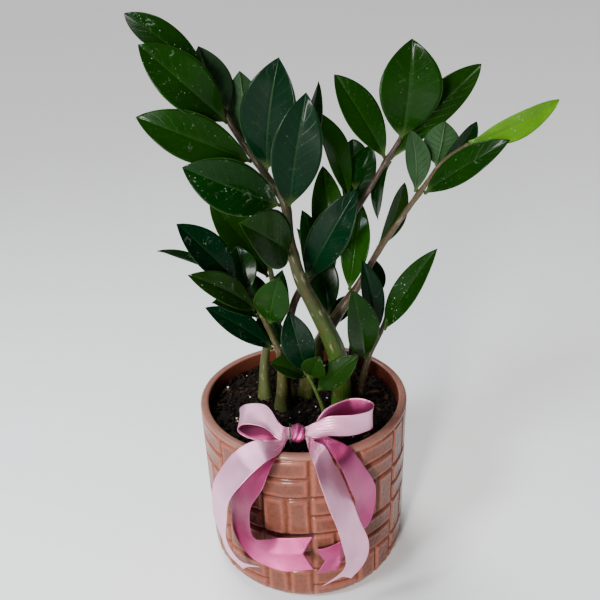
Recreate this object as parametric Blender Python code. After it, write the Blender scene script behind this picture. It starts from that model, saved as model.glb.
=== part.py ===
"""A potted ZZ plant with a two-colour ribbon bow.

Metres, +Z up. The origin is the middle of the pot's flat foot, which rests on the ground.
-Y is the front, where the bow sits on the rim; +X is to the right of someone facing it.
Every part is one closed solid. Parts that touch keep CLEARANCE between them.
"""

import math

import bmesh
import bpy
from mathutils import Matrix, Vector

MM = 0.001
CLEARANCE = 0.3 * MM

# Pot: a glazed cylinder, a little narrower at the foot
POT_HEIGHT = 127 * MM
RIM_RADIUS = 75 * MM
FOOT_RADIUS = 74.2 * MM
WALL = 6 * MM
FLOOR = 7 * MM
FOOT_ROUND = 12 * MM
LIP_ROUND = 2 * MM
POT_SIDES = 48

# Soil: fills the pot up to a shallow headspace
HEADSPACE = 10 * MM
SOIL_TOP = POT_HEIGHT - HEADSPACE
SOCKET_DEPTH = 14 * MM
SOCKET_SIDES = 12

# Leaflets: the blade's outline, as the share of the full half width at each station
LEAF_STATIONS = (0.0, 0.1, 0.25, 0.45, 0.65, 0.82, 0.94, 1.0)
LEAF_THICKNESS = 0.8 * MM
LEAF_EDGE = 0.35 * MM
LEAF_FOOT = 0.9 * MM
LEAF_CUP = 0.22
LEAF_ARCH = 0.07
# Foliage turns its upper faces this way: forward and up
LIGHT = Vector((0.0, -0.78, 0.62)).normalized()

# Ribbon: 22 mm satin, gathered to a narrow stack inside the knot
RIBBON_WIDTH = 22 * MM
RIBBON_THICKNESS = 0.4 * MM
GATHERED_WIDTH = 6 * MM
KNOT = Vector((-5, -60, 135)) * MM
KNOT_ACROSS = Vector((0, 0.8, 0.6))
KNOT_UP = Vector((0, -0.6, 0.8))
LAYER = 0.8 * MM
# Which corner each side's dividing edge leaves, so the two faces of a twisted piece stay parallel
RIBBON_SPLIT = (0, 0, 1, 1)
NEST = 0.8 * MM
NEST_SHARE = 0.94
WIRE_RADIUS = 0.6 * MM

# Each stem: x, y, z and radius in mm from the foot inside the soil to the tip
STEMS = {
    "stem_tall": ((27, -5, 104, 5.6), (27, -5, 117, 6.2), (27, -6, 136, 6.8), (24, -8, 161, 6.8),
                  (17, -10, 182, 6.0), (8, -12, 203, 5.0), (0, -14, 223, 4.2), (-5, -13, 247, 3.2),
                  (-7, -11, 269, 2.6), (-20, -6, 290, 2.2), (-36, 2, 313, 1.8), (-50, 8, 343, 1.3)),
    "stem_right": ((-8, 4, 104, 2.8), (-8, 4, 117, 3.2), (-12, 6, 140, 3.2), (-12, 8, 161, 3.0),
                   (-6, 9, 188, 2.8), (0, 10, 202, 2.7), (11, 12, 216, 2.5), (28, 14, 240, 2.3),
                   (40, 15, 258, 2.1), (48, 16, 270, 1.9), (59, 17, 288, 1.7), (68, 17, 302, 1.4)),
    "stem_far_right": ((2, 12, 104, 4.6), (2, 12, 117, 5.2), (5, 13, 138, 5.4), (14, 14, 160, 5.0),
                       (29, 16, 184, 3.8), (40, 16, 200, 2.8), (49, 15, 217, 2.3), (55, 13, 229, 2.1),
                       (65, 10, 246, 1.9), (79, 4, 270, 1.7), (92, -3, 291, 1.5), (105, -9, 302, 1.2)),
    "stem_back": ((12, 38, 104, 2.8), (12, 38, 117, 3.2), (16, 36, 158, 2.8), (21, 34, 192, 2.4),
                  (27, 32, 224, 2.0), (34, 30, 250, 1.7), (40, 28, 267, 1.3)),
    "stem_back_left": ((-29, 12, 104, 4.2), (-29, 12, 117, 4.8), (-28, 15, 144, 3.4), (-22, 17, 177, 2.2),
                       (-19, 17, 208, 1.9), (-23, 15, 229, 1.6), (-27, 13, 246, 1.2)),
    "stem_left": ((-16, -3, 104, 4.4), (-16, -3, 117, 5.0), (-15, -4, 141, 3.6), (-16, -5, 162, 2.4),
                  (-23, -6, 184, 1.9), (-30, -8, 202, 1.6), (-38, -10, 214, 1.4), (-46, -12, 224, 1.1)),
    "stem_low_right": ((43, 7, 104, 2.6), (43, 7, 117, 3.0), (45, 7, 135, 2.6), (49, 7, 152, 2.0),
                       (56, 7, 168, 1.7), (60, 7, 181, 1.4), (61, 7, 192, 1.1)),
    "stem_low_front": ((36, 8, 104, 3.4), (36, 8, 117, 3.8), (36, 9, 140, 3.4), (38, 12, 165, 2.4),
                       (43, 15, 180, 1.6), (50, 17, 188, 1.2)),
    "stem_young": ((14, -12, 104, 1.4), (14, -12, 117, 1.5), (9, -11, 133, 1.3), (3, -10, 148, 1.0)),
}

# Each leaflet: stem, place along it, compass heading and rise in degrees, length and width in mm,
# and the roll of its face away from LIGHT in degrees (near 180 shows the underside)
LEAVES = {
    "leaf_tall_tip": ("stem_tall", 1.0, 162, 36, 62, 20, 8),
    "leaf_tall_left_1": ("stem_tall", 0.89, 203, 44, 64, 27, -10),
    "leaf_tall_left_2": ("stem_tall", 0.78, 192, 25, 70, 26, -20),
    "leaf_tall_left_3": ("stem_tall", 0.65, 198, 27, 63, 29, -22),
    "leaf_tall_left_4": ("stem_tall", 0.52, 240, 34, 61, 31, -15),
    "leaf_tall_right_1": ("stem_tall", 0.74, 304, 73, 66, 31, -4),
    "leaf_tall_right_2": ("stem_tall", 0.64, 312, 75, 69, 27, 15),
    "leaf_tall_back_1": ("stem_tall", 0.91, 133, 58, 44, 24, 180),
    "leaf_tall_back_2": ("stem_tall", 0.82, 100, 60, 46, 24, 180),
    "leaf_tall_back_3": ("stem_tall", 0.7, 27, 61, 64, 22, 75),
    "leaf_right_low": ("stem_right", 0.47, 344, 61, 72, 24, 6),
    "leaf_right_left": ("stem_right", 0.93, 176, 58, 60, 22, 0),
    "leaf_right_tip": ("stem_right", 1.0, 304, 84, 58, 36, 8),
    "leaf_right_side": ("stem_right", 0.94, 20, 40, 83, 22, -8),
    "leaf_right_hanging": ("stem_right", 0.92, 110, -72, 44, 14, 60),
    "leaf_back_front": ("stem_back", 0.96, 204, 67, 65, 24, 32),
    "leaf_back_tip": ("stem_back", 1.0, 88, 46, 40, 18, 0),
    "leaf_back_left_1": ("stem_back", 0.62, 100, 76, 70, 22, 0),
    "leaf_back_left_2": ("stem_back", 0.4, 190, 76, 64, 18, 40),
    "leaf_far_low": ("stem_far_right", 0.41, 60, 72, 61, 19, -12),
    "leaf_far_root": ("stem_far_right", 0.26, 50, 32, 30, 13, 0),
    "leaf_far_inner_1": ("stem_far_right", 0.58, 50, 50, 50, 17, 45),
    "leaf_far_inner_2": ("stem_far_right", 0.8, 202, 82, 38, 17, 134),
    "leaf_far_outer_1": ("stem_far_right", 0.81, 328, 36, 60, 18, 0),
    "leaf_far_outer_2": ("stem_far_right", 0.9, 5, 50, 32, 14, 50),
    "leaf_far_inner_3": ("stem_far_right", 0.89, 54, 70, 27, 21, 170),
    "leaf_far_tip": ("stem_far_right", 1.0, 353, 26, 53, 18, 62),
    "leaf_back_low": ("stem_back_left", 0.73, 166, 54, 64, 26, 12),
    "leaf_left_1": ("stem_left", 0.95, 198, 52, 54, 22, 12),
    "leaf_left_2": ("stem_left", 0.84, 118, 62, 31, 18, 0),
    "leaf_left_3": ("stem_left", 0.94, 174, 26, 53, 13, 52),
    "leaf_left_4": ("stem_left", 0.74, 221, 39, 60, 18, 8),
    "leaf_left_5": ("stem_left", 0.68, 200, 28, 34, 18, 40),
    "leaf_left_6": ("stem_left", 0.44, 185, 39, 55, 18, 18),
    "leaf_left_7": ("stem_left", 0.61, 308, 70, 40, 22, 0),
    "leaf_young_tip": ("stem_young", 1.0, 157, 76, 47, 21, -6),
    "leaf_young_1": ("stem_young", 0.9, 305, 64, 23, 16, 0),
    "leaf_young_2": ("stem_young", 0.55, 345, 47, 42, 16, 0),
    "leaf_young_3": ("stem_young", 0.95, 195, 32, 29, 17, 35),
    "leaf_low_right_1": ("stem_low_right", 0.42, 242, 68, 68, 23, 12),
    "leaf_low_right_2": ("stem_low_right", 0.71, 203, 77, 57, 15, 12),
    "leaf_low_right_3": ("stem_low_right", 0.76, 328, 62, 73, 17, -18),
    "leaf_low_front_tip": ("stem_low_front", 1.0, 69, 62, 30, 16, 0),
}


# ---------------------------------------------------------------- helpers

def clear_scene():
    for obj in list(bpy.data.objects):
        bpy.data.objects.remove(obj, do_unlink=True)


def material(name, color, roughness, metallic=0.0):
    found = bpy.data.materials.get(name)
    if found:
        return found
    made = bpy.data.materials.new(name)
    made.use_nodes = True
    shader = made.node_tree.nodes["Principled BSDF"]
    shader.inputs["Base Color"].default_value = (*color, 1.0)
    shader.inputs["Roughness"].default_value = roughness
    shader.inputs["Metallic"].default_value = metallic
    return made


def add_mesh(name, bm, look, smooth=True):
    """Links the bmesh's shape to the scene as one object."""
    bmesh.ops.recalc_face_normals(bm, faces=bm.faces)
    mesh = bpy.data.meshes.new(name)
    bm.to_mesh(mesh)
    bm.free()
    if smooth:
        mesh.shade_smooth()
        mesh.set_sharp_from_angle(angle=math.radians(40))
    obj = bpy.data.objects.new(name, mesh)
    obj.data.materials.append(look)
    bpy.context.scene.collection.objects.link(obj)
    return obj


def turned(name, profile, sides, look):
    """A solid of revolution about Z. The profile is (radius, z) and starts and ends on the axis."""
    bm = bmesh.new()
    verts = [bm.verts.new((radius, 0.0, z)) for radius, z in profile]
    edges = [bm.edges.new(pair) for pair in zip(verts, verts[1:])]
    bmesh.ops.spin(bm, geom=verts + edges, cent=(0, 0, 0), axis=(0, 0, 1),
                   angle=math.tau, steps=sides, use_merge=True)
    bmesh.ops.remove_doubles(bm, verts=bm.verts, dist=1e-6)
    return add_mesh(name, bm, look)


def arc(center, radius, start, end, steps):
    """Points of a circular arc in the (radius, z) plane; angles in degrees."""
    points = []
    for i in range(steps + 1):
        angle = math.radians(start + (end - start) * i / steps)
        points.append((center[0] + radius * math.cos(angle), center[1] + radius * math.sin(angle)))
    return points


def smooth_route(points, between):
    """Points of a Catmull-Rom curve through vectors of any size, with `between` steps per span."""
    ends = [points[0] * 2 - points[1], *points, points[-1] * 2 - points[-2]]
    route = []
    for a, b, c, d in zip(ends, ends[1:], ends[2:], ends[3:]):
        for step in range(between):
            t = step / between
            route.append(0.5 * (b * 2 + (c - a) * t + (a * 2 - b * 5 + c * 4 - d) * t ** 2
                                + (b * 3 - a - c * 3 + d) * t ** 3))
    route.append(points[-1])
    return route


def looped_skin(name, rings, look, split=None):
    """Skins equal rings of points into one closed solid.

    Its sides are left as quads, or parted from each side's corner in `split`: 0 the first, 1 the second.
    """
    bm = bmesh.new()
    made = [[bm.verts.new(point) for point in ring] for ring in rings]
    count = len(rings[0])
    for a, b in zip(made, made[1:]):
        for i in range(count):
            j = (i + 1) % count
            if split is None:
                bm.faces.new((a[i], a[j], b[j], b[i]))
            elif split[i] == 0:
                bm.faces.new((a[i], a[j], b[j]))
                bm.faces.new((a[i], b[j], b[i]))
            else:
                bm.faces.new((a[i], a[j], b[i]))
                bm.faces.new((a[j], b[j], b[i]))
    bm.faces.new(made[0][::-1])
    bm.faces.new(made[-1])
    return add_mesh(name, bm, look)


# ---------------------------------------------------------------- pot and soil

def wall_radius(z):
    """Outer radius of the pot's straight side at height z."""
    return FOOT_RADIUS + (RIM_RADIUS - FOOT_RADIUS) * z / POT_HEIGHT


def make_pot():
    corner = (FOOT_RADIUS - FOOT_ROUND, FOOT_ROUND)
    inner_corner = (FOOT_RADIUS - FOOT_ROUND, FLOOR + FOOT_ROUND / 2)
    lip = RIM_RADIUS - LIP_ROUND, POT_HEIGHT - LIP_ROUND
    inner_lip = RIM_RADIUS - WALL + LIP_ROUND, POT_HEIGHT - LIP_ROUND
    profile = [(0, 0)]
    profile += arc(corner, FOOT_ROUND, -90, 0, 4)
    profile += arc(lip, LIP_ROUND, 0, 90, 2)
    profile += arc(inner_lip, LIP_ROUND, 90, 180, 2)
    profile += arc(inner_corner, FOOT_ROUND / 2, 0, -90, 2)
    profile += [(0, FLOOR)]
    glaze = material("glazed_ceramic", (0.29, 0.115, 0.085), 0.22)
    return turned("pot", profile, POT_SIDES, glaze)


def socket_for(name, top, radius):
    """A cutter that leaves room in the soil for the foot of a stem or of the bow's wire."""
    room = (radius + CLEARANCE) / math.cos(math.pi / SOCKET_SIDES)
    bm = bmesh.new()
    bmesh.ops.create_cone(bm, cap_ends=True, segments=SOCKET_SIDES, radius1=room, radius2=room,
                          depth=2 * SOCKET_DEPTH)
    cutter = add_mesh("socket_" + name, bm, material("cutter", (1, 0, 0), 0.5), smooth=False)
    cutter.location = top
    cutter.hide_render = True
    cutter.display_type = "WIRE"
    return cutter


def make_soil(sockets):
    inner_floor = FOOT_RADIUS - FOOT_ROUND / 2 - WALL
    top_radius = wall_radius(SOIL_TOP) - WALL - 2 * CLEARANCE
    low_radius = wall_radius(FLOOR + FOOT_ROUND) - WALL - 3 * CLEARANCE
    profile = [(0, FLOOR + CLEARANCE), (inner_floor - WALL, FLOOR + CLEARANCE),
               (low_radius, FLOOR + FOOT_ROUND), (top_radius, SOIL_TOP - MM),
               (top_radius - 3 * MM, SOIL_TOP), (0, SOIL_TOP)]
    earth = material("potting_soil", (0.012, 0.009, 0.007), 0.95)
    soil = turned("soil", profile, POT_SIDES, earth)
    for cutter in sockets:
        cut = soil.modifiers.new(cutter.name, "BOOLEAN")
        cut.operation = "DIFFERENCE"
        cut.solver = "EXACT"
        cut.object = cutter
    return soil


# ---------------------------------------------------------------- stems

def stem_line(name):
    """The stem's centre line as 4D vectors of x, y, z and radius in metres."""
    return smooth_route([Vector(point) * MM for point in STEMS[name]], 2)


def make_stem(name):
    line = stem_line(name)
    curve = bpy.data.curves.new(name, "CURVE")
    curve.dimensions = "3D"
    curve.bevel_depth = 1.0
    curve.bevel_resolution = 2
    curve.use_fill_caps = True
    spline = curve.splines.new("POLY")
    spline.points.add(len(line) - 1)
    for point, place in zip(spline.points, line):
        point.co = (*place[:3], 1.0)
        point.radius = place[3]
    curve.materials.append(material("petiole", (0.075, 0.085, 0.03), 0.42))
    obj = bpy.data.objects.new(name, curve)
    bpy.context.scene.collection.objects.link(obj)
    return obj


def place_on_stem(name, share):
    """Centre, direction and radius of the stem at a share of its length above the soil."""
    line = stem_line(name)[2:]
    lengths = [0.0]
    for a, b in zip(line, line[1:]):
        lengths.append(lengths[-1] + (b.xyz - a.xyz).length)
    wanted = share * lengths[-1]
    for i in range(len(line) - 1):
        if wanted <= lengths[i + 1] or i == len(line) - 2:
            t = (wanted - lengths[i]) / (lengths[i + 1] - lengths[i])
            place = line[i].lerp(line[i + 1], t)
            return place.xyz, (line[i + 1].xyz - line[i].xyz).normalized(), place[3]


# ---------------------------------------------------------------- leaflets

def blade_share(t):
    """Half width of the blade at station t, as a share of its widest: ovate with an acute tip."""
    return 3.47 * t ** 0.95 * (1.0 - t) ** 0.85


def leaf_ring(foot, axis, side, face, length, half, t):
    """Six points around the blade's section: edges, keel below the midrib and the groove above it."""
    spread = max(half * blade_share(t), LEAF_FOOT)
    if t == 1.0:
        spread = LEAF_EDGE
    thick = LEAF_THICKNESS * (1.0 - 0.5 * t)
    middle = foot + axis * length * t + face * (length * LEAF_ARCH * 4 * t * (1 - t))
    rise = LEAF_CUP * (spread - LEAF_FOOT) if spread > LEAF_FOOT else 0.0
    left = middle - side * spread + face * rise
    right = middle + side * spread + face * rise
    edge = face * LEAF_EDGE / 2
    return [left - edge, middle - face * thick, right - edge, right + edge, middle, left + edge]


def make_leaf(name):
    stem, share, heading, rise, length, width, roll = LEAVES[name]
    heading = math.radians(heading)
    rise = math.radians(rise)
    axis = Vector((math.cos(heading) * math.cos(rise), math.sin(heading) * math.cos(rise), math.sin(rise)))
    face = (LIGHT - axis * LIGHT.dot(axis)).normalized()
    face = Matrix.Rotation(math.radians(roll), 3, axis) @ face
    side = axis.cross(face)
    center, along, radius = place_on_stem(stem, share)
    lean = abs(axis.dot(along))
    if share == 1.0:
        foot = center + along * (1.3 * CLEARANCE + LEAF_FOOT * math.sqrt(1 - lean * lean))
    else:
        outward = (axis - along * axis.dot(along)).normalized()
        foot = center + outward * (radius + LEAF_FOOT * lean + CLEARANCE)
    length = length * MM
    rings = [leaf_ring(foot, axis, side, face, length, width * MM / 2, t) for t in LEAF_STATIONS]
    return looped_skin(name, rings, material("leaf", (0.02, 0.075, 0.012), 0.28))


# ---------------------------------------------------------------- bow

def at_knot(layer, along_x):
    """A place inside the knot: `layer` counts up through the stack, `along_x` is in mm."""
    return KNOT + KNOT_UP * LAYER * layer + Vector((along_x * MM, 0, 0))


def strip(name, stations, look, inward=0.0, share=1.0):
    """A ribbon: each station is its centre, its direction across and its width.

    `inward` moves it off that line along its face, and `share` narrows it, to nest one in another.
    """
    packed = [Vector((*center, *(Vector(across).normalized() * width)))
              for center, across, width in stations]
    route = smooth_route(packed, 2)
    rings = []
    for i, place in enumerate(route):
        across = Vector(place[3:])
        before = Vector(route[max(i - 1, 0)][:3])
        after = Vector(route[min(i + 1, len(route) - 1)][:3])
        normal = across.cross(after - before).normalized()
        center = Vector(place[:3]) + normal * inward
        normal *= RIBBON_THICKNESS / 2
        half = across * share / 2
        rings.append([center - half - normal, center + half - normal,
                      center + half + normal, center - half + normal])
    return looped_skin(name, rings, look, RIBBON_SPLIT)


def route(*points):
    """Stations given as x, y, z in mm, the direction across, and the width in mm."""
    return [(Vector(p[:3]) * MM, p[3:6], (p[6] if len(p) > 6 else RIBBON_WIDTH / MM) * MM) for p in points]


def gathered(layer, along_x, width=GATHERED_WIDTH / MM, forward=0.0):
    """A station of the gathered stack, `forward` mm out of its middle along its width."""
    return (at_knot(layer, along_x) - KNOT_ACROSS * forward * MM, KNOT_ACROSS, width * MM)


def make_loops(pale, rose):
    """Two loops in one round trip through the knot, the rose ribbon nested inside the pale one."""
    back = (0, 1, 0)
    lean = (0, -0.2, 1)
    trip = [
        gathered(0, -0.4), gathered(0, -6), gathered(0, -11, 10),
        *route((-25, -57, 135.6, 0, 1, 0.15, 18), (-36, -50, 133, *back), (-42.5, -46, 136, *back),
               (-38, -46, 140, *back), (-25, -51, 141.5, 0, 1, 0.2, 20)),
        gathered(4, -11, 11), gathered(3, -6), gathered(3, 0), gathered(3, 6), gathered(4, 11, 10),
        *route((16, -62, 140.5, 0, 0.1, 1, 14), (31, -61, 140, *lean, 18), (41, -57, 140, *lean, 18),
               (43, -50, 139.5, 0, 0, 1, 18), (31, -46, 139.5, 0, 0.2, 1, 18),
               (15, -52, 138.5, 0, 0.5, 1, 14)),
        gathered(0, 11, 10), gathered(0, 6), gathered(0, 0.4)]
    strip("ribbon_pale_loops", trip, pale)
    strip("ribbon_rose_loops", trip, rose, NEST, NEST_SHARE)


def make_tails(pale, rose):
    """Two ribbons under the loops, their ends hanging over the rim to either side."""
    pale_trip = [
        *route((-40, -72, 33, -0.6, 0.5, -0.6), (-50, -73, 46, -0.55, 0.75, -0.35),
               (-56, -76, 68, -0.45, 0.9, 0), (-56, -79, 90, -0.5, 0.86, 0), (-52, -82, 110, -0.5, 0.86, 0),
               (-41, -81, 126.5, -0.5, 0.86, 0.1), (-28, -75, 132.5, -0.4, 0.9, 0.1, 20),
               (-16, -65.5, 129.8, 0, 0.92, 0.38, 11)),
        gathered(-1, -6, 6, 1), gathered(-1, 0, 6, 1), gathered(-1, 5, 6, 1),
        *route((3, -66, 129.4, 0.2, 0.85, 0.4, 9), (8, -77, 130, 0.45, 0.9, 0.1, 16),
               (12, -86, 123, 0.45, 0.89, 0.1, 20), (17, -88, 111, 0.5, 0.86, 0.1),
               (24, -93.3, 90, 0.56, 0.83, 0), (29.5, -93, 68, 0.7, 0.7, 0),
               (27, -90, 50, 0.85, 0.5, 0), (17, -87, 35, 0.85, 0.4, -0.2))]
    rose_trip = [
        *route((3, -82, 55, 0, -0.35, -0.93), (-9, -82, 55, 0, -0.35, -0.93),
               (-20, -81, 54.5, 0, -0.35, -0.93), (-32, -79.5, 58, -0.5, 0.1, -0.8),
               (-41, -78, 69, -0.65, 0.6, -0.35), (-43, -79, 85, -0.6, 0.8, 0),
               (-40, -82, 104, -0.55, 0.84, 0), (-32, -84, 120, -0.5, 0.86, 0),
               (-24, -75, 129, -0.4, 0.9, 0.1, 18), (-16, -62.5, 129.7, 0, 0.88, 0.48, 8.5)),
        gathered(-2.2, -6, 6, 1), gathered(-2.3, 0, 6, 1), gathered(-2.6, 6, 6, 1), gathered(-3.4, 11, 7, 1),
        *route((16, -66, 128.8, 0.2, 0.95, 0, 13), (24, -78, 127.5, 0.45, 0.88, 0, 18),
               (31.5, -78.5, 112, 0.5, 0.86, 0), (37, -72.8, 90, 0.7, 0.7, 0), (30, -77, 68, 0.87, 0.5, 0.1),
               (24, -76.5, 50, 0.4, 0.3, 0.85), (13, -77, 43, 0, 0, 1), (4, -77.5, 42, 0, 0, 1))]
    strip("ribbon_pale_tails", pale_trip, pale)
    strip("ribbon_rose_tails", rose_trip, rose)


def make_bow():
    pale = material("satin_pale_pink", (0.72, 0.42, 0.55), 0.35)
    rose = material("satin_rose", (0.45, 0.10, 0.22), 0.35)
    make_loops(pale, rose)
    make_tails(pale, rose)
    make_knot(rose)


def make_knot(look):
    """A short band round the gathered stack."""
    middle = KNOT + KNOT_UP * LAYER / 2 - KNOT_ACROSS * MM / 2
    bm = bmesh.new()
    sides = 16
    end = 3 * MM
    thick = 0.9 * MM
    rings = []
    for x, grow in ((-end, 0.0), (end, 0.0), (end, thick), (-end, thick)):
        ring = []
        for i in range(sides):
            angle = math.tau * i / sides
            across = KNOT_ACROSS * math.cos(angle) * (4.9 * MM + grow)
            lift = KNOT_UP * math.sin(angle) * (4.1 * MM + grow)
            ring.append(bm.verts.new(middle + Vector((x, 0, 0)) + across + lift))
        rings.append(ring)
    for a, b in zip(rings, rings[1:] + rings[:1]):
        for i in range(sides):
            j = (i + 1) % sides
            bm.faces.new((a[i], a[j], b[j], b[i]))
    return add_mesh("bow_knot", bm, look)


def make_wire():
    """Dark florist's wire: a turn round the gathered ribbon beside the knot, then down into the soil."""
    x = KNOT.x - 4.3 * MM
    middle = KNOT + KNOT_UP * LAYER / 2 - KNOT_ACROSS * MM / 2
    points = []
    for i in range(13):
        angle = math.radians(-100 - 260 * i / 12)
        points.append(Vector((x, *(middle + KNOT_ACROSS * math.cos(angle) * 6 * MM
                                   + KNOT_UP * math.sin(angle) * 4.9 * MM).yz)))
    end = points[-1]
    points += [Vector((x, end.y + 0.5 * MM, 128 * MM)), Vector((x, end.y + 0.5 * MM, SOIL_TOP)),
               Vector((x, end.y + 0.5 * MM, SOIL_TOP - 0.8 * SOCKET_DEPTH))]
    curve = bpy.data.curves.new("bow_wire", "CURVE")
    curve.dimensions = "3D"
    curve.bevel_depth = WIRE_RADIUS
    curve.bevel_resolution = 2
    curve.use_fill_caps = True
    spline = curve.splines.new("POLY")
    spline.points.add(len(points) - 1)
    for point, place in zip(spline.points, points):
        point.co = (*place, 1.0)
    curve.materials.append(material("florist_wire", (0.02, 0.03, 0.02), 0.5))
    obj = bpy.data.objects.new("bow_wire", curve)
    bpy.context.scene.collection.objects.link(obj)
    return points[-2]


def main():
    clear_scene()
    make_pot()
    for name in STEMS:
        make_stem(name)
    for name in LEAVES:
        make_leaf(name)
    make_bow()
    wire_foot = make_wire()
    sockets = [socket_for(name, Vector(route[1][:3]) * MM, max(route[0][3], route[1][3]) * MM)
               for name, route in STEMS.items()]
    sockets.append(socket_for("bow_wire", wire_foot, WIRE_RADIUS))
    make_soil(sockets)


main()
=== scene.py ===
import math
import random

import bmesh
import bpy
import numpy as np
from mathutils import Matrix, Vector


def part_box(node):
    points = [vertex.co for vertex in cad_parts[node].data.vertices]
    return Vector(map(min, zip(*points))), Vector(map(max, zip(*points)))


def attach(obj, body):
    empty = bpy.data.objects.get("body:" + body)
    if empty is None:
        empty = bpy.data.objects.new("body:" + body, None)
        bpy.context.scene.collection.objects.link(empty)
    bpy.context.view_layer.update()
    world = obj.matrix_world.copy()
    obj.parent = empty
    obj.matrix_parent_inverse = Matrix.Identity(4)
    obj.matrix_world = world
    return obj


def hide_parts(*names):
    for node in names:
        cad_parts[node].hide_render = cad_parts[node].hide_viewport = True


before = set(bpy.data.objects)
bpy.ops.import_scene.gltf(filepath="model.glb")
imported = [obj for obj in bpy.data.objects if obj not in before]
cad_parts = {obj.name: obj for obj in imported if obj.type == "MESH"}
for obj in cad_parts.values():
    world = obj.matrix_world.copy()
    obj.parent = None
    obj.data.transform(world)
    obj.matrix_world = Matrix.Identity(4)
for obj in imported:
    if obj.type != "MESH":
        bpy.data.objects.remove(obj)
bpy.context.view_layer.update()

# Metres, +Z up, -Y the front. The petioles and leaflets repeat the part's own route tables, so each
# fine piece lies inside the plain solid that it stands for.
MM = 0.001
rng = np.random.default_rng(7)

POT_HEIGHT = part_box("pot")[1][2]
RIM_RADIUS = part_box("pot")[1][0]
FOOT_RADIUS = RIM_RADIUS - 0.8 * MM
SOIL_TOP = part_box("soil")[1][2]
CLEARANCE = 0.3 * MM
LEAF_FOOT = 0.9 * MM
LEAF_CUP = 0.22
LEAF_ARCH = 0.07
LIGHT = Vector((0.0, -0.78, 0.62)).normalized()
RIBBON_WIDTH = 22 * MM
GATHERED_WIDTH = 6 * MM
KNOT = Vector((-5, -60, 135)) * MM
KNOT_ACROSS = Vector((0, 0.8, 0.6))
KNOT_UP = Vector((0, -0.6, 0.8))
LAYER = 0.8 * MM
NEST = 0.8 * MM
NEST_SHARE = 0.94

# Each stem: x, y, z and radius in mm from the foot inside the soil to the tip
STEMS = {
    "stem_tall": ((27, -5, 104, 5.6), (27, -5, 117, 6.2), (27, -6, 136, 6.8), (24, -8, 161, 6.8),
                  (17, -10, 182, 6.0), (8, -12, 203, 5.0), (0, -14, 223, 4.2), (-5, -13, 247, 3.2),
                  (-7, -11, 269, 2.6), (-20, -6, 290, 2.2), (-36, 2, 313, 1.8), (-50, 8, 343, 1.3)),
    "stem_right": ((-8, 4, 104, 2.8), (-8, 4, 117, 3.2), (-12, 6, 140, 3.2), (-12, 8, 161, 3.0),
                   (-6, 9, 188, 2.8), (0, 10, 202, 2.7), (11, 12, 216, 2.5), (28, 14, 240, 2.3),
                   (40, 15, 258, 2.1), (48, 16, 270, 1.9), (59, 17, 288, 1.7), (68, 17, 302, 1.4)),
    "stem_far_right": ((2, 12, 104, 4.6), (2, 12, 117, 5.2), (5, 13, 138, 5.4), (14, 14, 160, 5.0),
                       (29, 16, 184, 3.8), (40, 16, 200, 2.8), (49, 15, 217, 2.3), (55, 13, 229, 2.1),
                       (65, 10, 246, 1.9), (79, 4, 270, 1.7), (92, -3, 291, 1.5), (105, -9, 302, 1.2)),
    "stem_back": ((12, 38, 104, 2.8), (12, 38, 117, 3.2), (16, 36, 158, 2.8), (21, 34, 192, 2.4),
                  (27, 32, 224, 2.0), (34, 30, 250, 1.7), (40, 28, 267, 1.3)),
    "stem_back_left": ((-29, 12, 104, 4.2), (-29, 12, 117, 4.8), (-28, 15, 144, 3.4), (-22, 17, 177, 2.2),
                       (-19, 17, 208, 1.9), (-23, 15, 229, 1.6), (-27, 13, 246, 1.2)),
    "stem_left": ((-16, -3, 104, 4.4), (-16, -3, 117, 5.0), (-15, -4, 141, 3.6), (-16, -5, 162, 2.4),
                  (-23, -6, 184, 1.9), (-30, -8, 202, 1.6), (-38, -10, 214, 1.4), (-46, -12, 224, 1.1)),
    "stem_low_right": ((43, 7, 104, 2.6), (43, 7, 117, 3.0), (45, 7, 135, 2.6), (49, 7, 152, 2.0),
                       (56, 7, 168, 1.7), (60, 7, 181, 1.4), (61, 7, 192, 1.1)),
    "stem_low_front": ((36, 8, 104, 3.4), (36, 8, 117, 3.8), (36, 9, 140, 3.4), (38, 12, 165, 2.4),
                       (43, 15, 180, 1.6), (50, 17, 188, 1.2)),
    "stem_young": ((14, -12, 104, 1.4), (14, -12, 117, 1.5), (9, -11, 133, 1.3), (3, -10, 148, 1.0)),
}

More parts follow.
